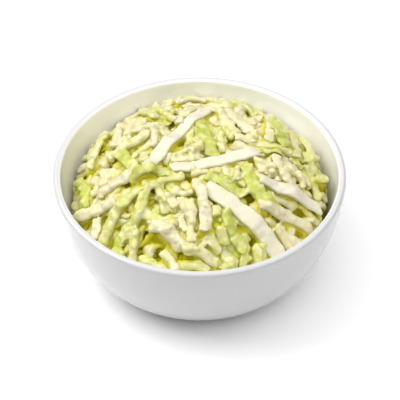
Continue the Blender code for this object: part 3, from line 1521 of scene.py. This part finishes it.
    def bent(self, shred: Shred, blank: Blank) -> np.ndarray:
        """Bend a copy of the blank along a shred and roughen it with dressing.

        Args:
            shred: The laid shred.
            blank: The straight shred.

        Returns:
            Vertex places, shape (n, 3).
        """
        kind = shred.kind
        centre = shred.centre
        numbers = np.arange(len(centre))
        at = (blank.corners[:, 0] + 1.0) / 2.0 * (len(centre) - 1)
        slant = math.sin(shred.seed * 12.9) * 0.6 * float(shred.half_width[0]) / MM
        at = at + slant * blank.corners[:, 1] * blank.corners[:, 0] ** 6
        ahead = np.gradient(centre, axis=0)
        ahead /= np.linalg.norm(ahead, axis=1, keepdims=True) + 1e-12
        flat = np.stack([-ahead[:, 1], ahead[:, 0], np.zeros(len(ahead))], axis=1)
        flat /= np.linalg.norm(flat, axis=1, keepdims=True) + 1e-12
        up = np.cross(ahead, flat)
        cosine, sine = np.cos(shred.lean)[:, None], np.sin(shred.lean)[:, None]
        side, top = flat * cosine + up * sine, up * cosine - flat * sine

        def read(values: np.ndarray) -> np.ndarray:
            """Values along the shred at each vertex.

            Args:
                values: Numbers or vectors along the centreline.

            Returns:
                One number or vector for each vertex.
            """
            if values.ndim == 1:
                return np.interp(at, numbers, values)
            return np.stack([np.interp(at, numbers, values[:, axis]) for axis in range(3)], axis=1)

        across = (blank.corners[:, 1] * read(shred.half_width))[:, None]
        upward = blank.corners[:, 2] * read(shred.half_thickness)
        if kind.ruffle:
            wave = np.sin(at * 1.15 + shred.seed) * blank.corners[:, 1] ** 2
            wave += 0.6 * np.sin(at * 0.62 + 2.0 * shred.seed) * blank.corners[:, 1]
            upward = upward + kind.ruffle * wave
        places = read(centre) + read(side) * across + read(top) * upward[:, None]
        outward = read(side) * blank.corners[:, 1:2] * 0.8 + read(top) * blank.corners[:, 2:3]
        outward /= np.linalg.norm(outward, axis=1, keepdims=True) + TINY
        bulge = kind.lump * lumps(places, kind.lump_size, 3)
        bulge += 0.45 * kind.lump * lumps(places, kind.lump_size * 0.45, 7)
        places = places + outward * bulge[:, None]
        return self.inside_wall(places)

    def fused(self, item: bpy.types.Object, shreds: list[Shred], voxel: float, bead: float) -> None:
        """Join the touching shreds of a piece under one skin of dressing with beads on it.

        Args:
            item: The piece.
            shreds: The shreds in it.
            voxel: Grain of the skin in metres.
            bead: Height of the beads in metres.
        """
        apply_modifier(item, "REMESH", mode="VOXEL", voxel_size=voxel, use_smooth_shade=True)
        apply_modifier(item, "SMOOTH", factor=0.5, iterations=3)
        places = vertex_places(item)
        normals = vertex_normals(item)
        raised = smoothstep(-0.1, 0.7, lumps(places, 0.0027, 51)) - 0.35
        raised += 0.55 * smoothstep(0.0, 0.8, lumps(places, 0.0015, 53))
        raised *= smoothstep(-0.6, 0.4, normals[:, 2])
        places = self.inside_wall(places + normals * (raised * bead)[:, None])
        move_vertices(item, places)
        count = sum(len(shred.centre) for shred in shreds)
        tree = KDTree(count)
        owners = []
        for shred in shreds:
            for place in shred.centre:
                tree.insert(place, len(owners))
                owners.append(shred.tint)
        tree.balance()
        owners = np.array(owners)
        nearest = np.array([tree.find(place)[1] for place in places])
        drift = 0.25 * lumps(places, 0.0075, 61) + self.GREEN_GAIN * self.greenness(places)
        set_attribute(item, "tint", np.clip(spread(item, owners[nearest], 3) + drift, 0.0, 1.0))
        # More cream on faces that look up: partly dressing, partly painted light on the tops.
        set_attribute(item, "coat", 0.35 + 0.65 * smoothstep(-0.5, 0.8, normals[:, 2]))
        # Depth in the gaps, which the finish paints as shade.
        set_attribute(item, "deep", self.deepness(places))

    def inside_wall(self, places: np.ndarray) -> np.ndarray:
        """Press what would pass the bowl's wall back against it.

        Args:
            places: The places, shape (n, 3), which are changed.

        Returns:
            The same places.
        """
        limit = self.heap.bowl.inner_radius(places[:, 2]) - self.WALL_GAP
        distance = np.hypot(places[:, 0], places[:, 1])
        shrink = np.minimum(1.0, limit / np.maximum(distance, TINY))
        places[:, :2] *= shrink[:, None]
        return places


# ---------------------------------------------------------------------------------------------
# The dressed mass under the shreds
# ---------------------------------------------------------------------------------------------


@dataclass
class DressedMass:
    """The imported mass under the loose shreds: bowl-shaped below, lumpy with dressing on top."""

    heap: HeapMap
    surface: np.ndarray
    finish: DressedCabbage
    turn_steps: int = 480
    top_rings: int = 124
    underside_samples: int = 14
    underside_angle: float = 1.0
    top_rise: float = 0.004
    gap: float = 0.00035
    edge_share: float = 0.9
    middle_height: float = 0.042
    passes: int = 3
    patch: float = 0.006
    coat: float = 0.75

    def lift(self, flat_places: np.ndarray, flat_radius: float) -> np.ndarray:
        """Spread the flat top out to the bowl's wall and lift it to the dressing's height map.

        Args:
            flat_places: Vertex places of the flat top, shape (n, 3).
            flat_radius: The flat top's radius.

        Returns:
            The lifted places.
        """
        bowl = self.heap.bowl
        distance = np.hypot(flat_places[:, 0], flat_places[:, 1])
        share = distance / flat_radius
        middle = float(bowl.inner_radius(np.array([self.middle_height]))[0])
        places = flat_places
        for _ in range(self.passes):
            height = self.heap.sample(self.surface, places[:, 0], places[:, 1])
            edge = bowl.inner_radius(height) - self.gap
            grown = share * np.where(share > self.edge_share, edge, middle)
            stretch = grown / np.maximum(distance, TINY)
            places = flat_places * np.column_stack([stretch, stretch, np.ones(len(stretch))])
            places[:, 2] = self.heap.sample(self.surface, places[:, 0], places[:, 1])
        return places

    def build(self, layer: Layer) -> bpy.types.Object:
        """Turn the section with a flat top, then lift that top.

        Args:
            layer: The layer that tells how deep a place lies.

        Returns:
            The finished piece.
        """
        bowl = self.heap.bowl
        angles = np.linspace(0.0, self.underside_angle, self.underside_samples)
        radii, heights = bowl.curve(angles, True)
        top = float(heights[-1]) + self.top_rise
        flat = float(bowl.inner_radius(np.array([top]))[0]) - self.gap
        section = [(0.0, bowl.floor + self.gap)]
        section += [(r - self.gap, h + self.gap) for r, h in zip(radii, heights)]
        section += [(flat * (1.0 - i / self.top_rings), top) for i in range(self.top_rings)]
        section += [(0.0, top)]
        item = turned("dressed_mass", section, self.turn_steps)
        corners = vertex_places(item)
        lifted = corners[:, 2] > top - MM
        corners[lifted] = self.lift(corners[lifted], flat)
        move_vertices(item, corners)
        set_attribute(item, "tint", 0.55 + 0.4 * lumps(corners, self.patch, 21))
        set_attribute(item, "coat", np.full(len(corners), self.coat))
        # Depth in the gaps, which the finish paints as shade.
        set_attribute(item, "deep", layer.deepness(corners))
        item.data.materials.append(self.finish.material())
        item.data.shade_smooth()
        register(item, Slot.CABBAGE.value, "coleslaw")
        return item


# ---------------------------------------------------------------------------------------------
# The whole salad
# ---------------------------------------------------------------------------------------------

# The mass shows only in the gaps, so its flesh and cream are golden yellow, partly painted shade; its gold
# and olive are painted shade in the gaps.
MASS_FINISH = DressedCabbage(
    "dressed_mass",
    flesh=(0.63, 0.57, 0.22),
    leaf=(0.53, 0.53, 0.11),
    gap_shade_gold=(0.62, 0.565, 0.05),
    gap_shade_olive=(0.37, 0.33, 0.004),
    cream=(0.64, 0.585, 0.34),
)
# Each finish's gold and olive are painted shade in the gaps between shreds.
SHRED_FINISHES = {
    RIB: DressedCabbage(
        "rib_flesh",
        flesh=(0.64, 0.60, 0.46),
        leaf=(0.61, 0.575, 0.36),
        gap_shade_gold=(0.63, 0.57, 0.18),
        gap_shade_olive=(0.44, 0.39, 0.02),
        cream=(0.65, 0.61, 0.49),
    ),
    CREAM: DressedCabbage(
        "cream_flesh",
        flesh=(0.625, 0.572, 0.345),
        leaf=(0.54, 0.535, 0.18),
        gap_shade_gold=(0.64, 0.585, 0.09),
        gap_shade_olive=(0.41, 0.37, 0.005),
        cream=(0.64, 0.595, 0.45),
    ),
    PALE: DressedCabbage(
        "pale_flesh",
        flesh=(0.62, 0.57, 0.285),
        leaf=(0.50, 0.515, 0.11),
        gap_shade_gold=(0.63, 0.58, 0.065),
        gap_shade_olive=(0.39, 0.36, 0.005),
        cream=(0.64, 0.595, 0.42),
    ),
    LEAF: DressedCabbage(
        "leaf_green",
        flesh=(0.56, 0.56, 0.18),
        leaf=(0.43, 0.47, 0.055),
        gap_shade_gold=(0.50, 0.50, 0.03),
        gap_shade_olive=(0.29, 0.29, 0.004),
        cream=(0.63, 0.60, 0.33),
        coat_low=0.42,
        coat_high=0.70,
        coat_share=0.6,
    ),
    BIT: DressedCabbage(
        "bit_flesh",
        flesh=(0.625, 0.572, 0.305),
        leaf=(0.53, 0.53, 0.13),
        gap_shade_gold=(0.63, 0.58, 0.065),
        gap_shade_olive=(0.39, 0.36, 0.005),
        cream=(0.64, 0.595, 0.43),
    ),
}


@dataclass
class Salad:
    """All that lies in the bowl."""

    heap: HeapMap
    seed: int = 5
    gap_ball: float = 0.0010
    wear: int = 2
    shallow: float = 0.0009
    hole_depth: float = 0.0032
    hole_size: float = 0.0062
    knob_height: float = 0.0006
    knob_size: float = 0.0026
    filling_ball: float = 0.0022
    filling_depth: float = 0.0011
    filling_swing: float = 0.0008
    filling_size: float = 0.007

    def build(self) -> None:
        """Lay the shreds from the bottom up, and make the mass and the pieces of them."""
        layer = Layer(self.heap, self.seed)
        filling = self.lay_all(layer)
        layer.find_crest()
        heap = self.heap
        closed_up = closed(heap.height, self.gap_ball, heap.cell)
        support = blurred(worn(closed_up, self.wear), 1, 1) - self.hollow()
        DressedMass(heap, np.maximum(filling, support), MASS_FINISH).build(layer)
        blanks = {
            Stock.FINE: Blank.modelled(Stock.FINE.value, 8, 26, 0.10, 0.85),
            Stock.RIB: Blank.modelled(Stock.RIB.value, 16, 44, 0.03, 0.55, 0.35),
            Stock.LEAF: Blank.modelled(Stock.LEAF.value, 14, 34, 0.14, 0.9),
            Stock.SHORT: Blank.modelled(Stock.SHORT.value, 10, 14, 0.30, 0.8),
        }
        bead = Blank.bead("bead_blank")
        for piece in PIECES:
            kind = piece.kind
            shreds = layer.laid.get((piece.depth, kind.name), [])
            if not shreds:
                continue
            name = f"shreds_{kind.name}_{piece.depth.value}"
            item = layer.mesh(name, shreds, blanks[kind.stock], bead, piece.spacing)
            if piece.grain:
                layer.fused(item, shreds, piece.grain, piece.relief)
            item.data.materials.append(SHRED_FINISHES[kind].material())
            register(item, Slot.CABBAGE.value)

    def lay_all(self, layer: Layer) -> np.ndarray:
        """Lay every shred, with dressing that fills the gaps of the lowest ones.

        Args:
            layer: The empty heap.

        Returns:
            Height map of that dressing.
        """
        filling = self.heap.height
        for depth in Depth:
            layer.depth = depth
            if depth is Depth.TOP:
                for feature in FEATURES:
                    self.lay_feature(layer, feature)
            for batch in BATCHES[depth]:
                layer.scatter(batch)
            if depth is Depth.UNDER:
                filling = self.dressing_surface()
                np.maximum(self.heap.height, filling, out=self.heap.height)
        return filling

    def lay_feature(self, layer: Layer, feature: Feature) -> None:
        """Lay one shred that has its own place.

        Args:
            layer: The heap so far.
            feature: The shred.
        """
        rim = self.heap.bowl.rim_radius
        start, end = np.array(feature.start) * rim, np.array(feature.end) * rim
        straight = end - start
        length = float(np.hypot(*straight))
        aside = np.array([-straight[1], straight[0]]) * feature.bow
        share = np.linspace(0.0, 1.0, max(8, int(length / MM)))[:, None]
        way = start + straight * share + aside * np.sin(math.pi * share)
        layer.lay(
            feature.kind, way, feature.width, feature.thickness, feature.tint, None, lift=feature.lift
        )

    def pattern(self, size: float, seed: int) -> np.ndarray:
        """Lumpy noise on the height map's cells."""
        x, y = self.heap.places()
        return lumps(np.column_stack([x.ravel(), y.ravel(), np.zeros(x.size)]), size, seed).reshape(x.shape)

    def hollow(self) -> np.ndarray:
        """How far the dressing lies below the upper shreds: little, and much in scattered holes.

        Returns:
            A depth for each cell of the height map.
        """
        holes = smoothstep(0.15, 0.60, self.pattern(self.hole_size, 83))
        knobs = self.pattern(self.knob_size, 87)
        return self.shallow + self.hole_depth * holes - self.knob_height * knobs

    def dressing_surface(self) -> np.ndarray:
        """Height map of the dressing that fills the narrow gaps of the lower shreds.

        Returns:
            A height for each cell.
        """
        depth = self.filling_depth + self.filling_swing * self.pattern(self.filling_size, 31)
        filled = closed(self.heap.height, self.filling_ball, self.heap.cell)
        return blurred(filled, 1, 2) - depth


# ---------------------------------------------------------------------------------------------
# Studio
# ---------------------------------------------------------------------------------------------


@dataclass(frozen=True)
class SoftBox:
    """A large soft lamp that looks at the bowl."""

    name: str
    azimuth: float
    elevation: float
    distance: float
    size: float
    power: float


@dataclass
class Studio:
    """Floor, lamps and camera, placed in shares of the bowl's rim radius."""

    rim_radius: float
    view_distance: float = 8.0
    view_elevation: float = 44.2
    target_height: float = 0.494
    lens: float = 102.8
    shift_x: float = 0.0015
    floor_size: float = 60.0
    floor_colour: Colour = (0.95, 0.95, 0.95)
    floor_roughness: float = 0.9
    floor_specular: float = 0.1
    world_strength: float = 0.06
    lamps: tuple[SoftBox, ...] = (
        SoftBox("canopy", 180.0, 88.0, 14.0, 34.0, 19.5),
        SoftBox("key", 260.0, 50.0, 10.0, 8.0, 2.8),
        SoftBox("fill", 80.0, 40.0, 12.0, 12.0, 1.3),
        SoftBox("front", 0.0, 45.0, 12.0, 12.0, 0.25),
    )

    def build(self) -> None:
        """Make the floor, the lamps, the world and the camera."""
        self.floor()
        for lamp in self.lamps:
            self.lamp(lamp)
        self.world()
        self.camera()

    def floor(self) -> None:
        """A plain pale floor under the bowl."""
        deselect_all()
        bpy.ops.mesh.primitive_plane_add(size=self.floor_size * self.rim_radius, location=(0, 0, 0))
        item = bpy.context.object
        item.name = "floor"
        bench = NodeBench("floor")
        bench.shader.inputs["Base Color"].default_value = (*self.floor_colour, 1.0)
        bench.shader.inputs["Roughness"].default_value = self.floor_roughness
        bench.shader.inputs["Specular IOR Level"].default_value = self.floor_specular
        item.data.materials.append(bench.material)

    def lamp(self, lamp: SoftBox) -> None:
        """Add one lamp.

        Args:
            lamp: Where it stands, in degrees and rim radii, and its power in watts.
        """
        azimuth, elevation = math.radians(lamp.azimuth), math.radians(lamp.elevation)
        flat = math.cos(elevation)
        way = Vector((math.sin(azimuth) * flat, -math.cos(azimuth) * flat, math.sin(elevation)))
        data = bpy.data.lights.new(lamp.name, "AREA")
        data.shape = "DISK"
        data.size = lamp.size * self.rim_radius
        data.energy = lamp.power
        item = bpy.data.objects.new(lamp.name, data)
        bpy.context.scene.collection.objects.link(item)
        item.location = way * lamp.distance * self.rim_radius
        item.rotation_mode = "QUATERNION"
        item.rotation_quaternion = (-way).to_track_quat("-Z", "Y")

    def world(self) -> None:
        """Even pale light from all round."""
        world = bpy.data.worlds.new("studio")
        world.use_nodes = True
        background = world.node_tree.nodes["Background"]
        background.inputs["Color"].default_value = (1.0, 1.0, 1.0, 1.0)
        background.inputs["Strength"].default_value = self.world_strength
        bpy.context.scene.world = world

    def camera(self) -> None:
        """The view from the serving side, looking down at the heap."""
        elevation = math.radians(self.view_elevation)
        back = Vector((0.0, -math.cos(elevation), math.sin(elevation)))
        target = Vector((0.0, 0.0, self.target_height * self.rim_radius))
        data = bpy.data.cameras.new("camera")
        data.lens = self.lens
        data.sensor_width = 36.0
        data.shift_x = self.shift_x
        data.clip_start = 0.01
        item = bpy.data.objects.new("camera", data)
        bpy.context.scene.collection.objects.link(item)
        item.location = target + back * self.view_distance * self.rim_radius
        item.rotation_mode = "QUATERNION"
        item.rotation_quaternion = (-back).to_track_quat("-Z", "Y")
        bpy.context.scene.camera = item


def main() -> None:
    """Build the studio, the bowl and the salad, in that order."""
    bpy.context.scene.view_settings.view_transform = "Standard"
    bowl = Bowl.from_frame()
    Studio(bowl.rim_radius).build()
    bowl.build()
    Salad(HeapMap(bowl)).build()


if __name__ == "__main__":
    main()
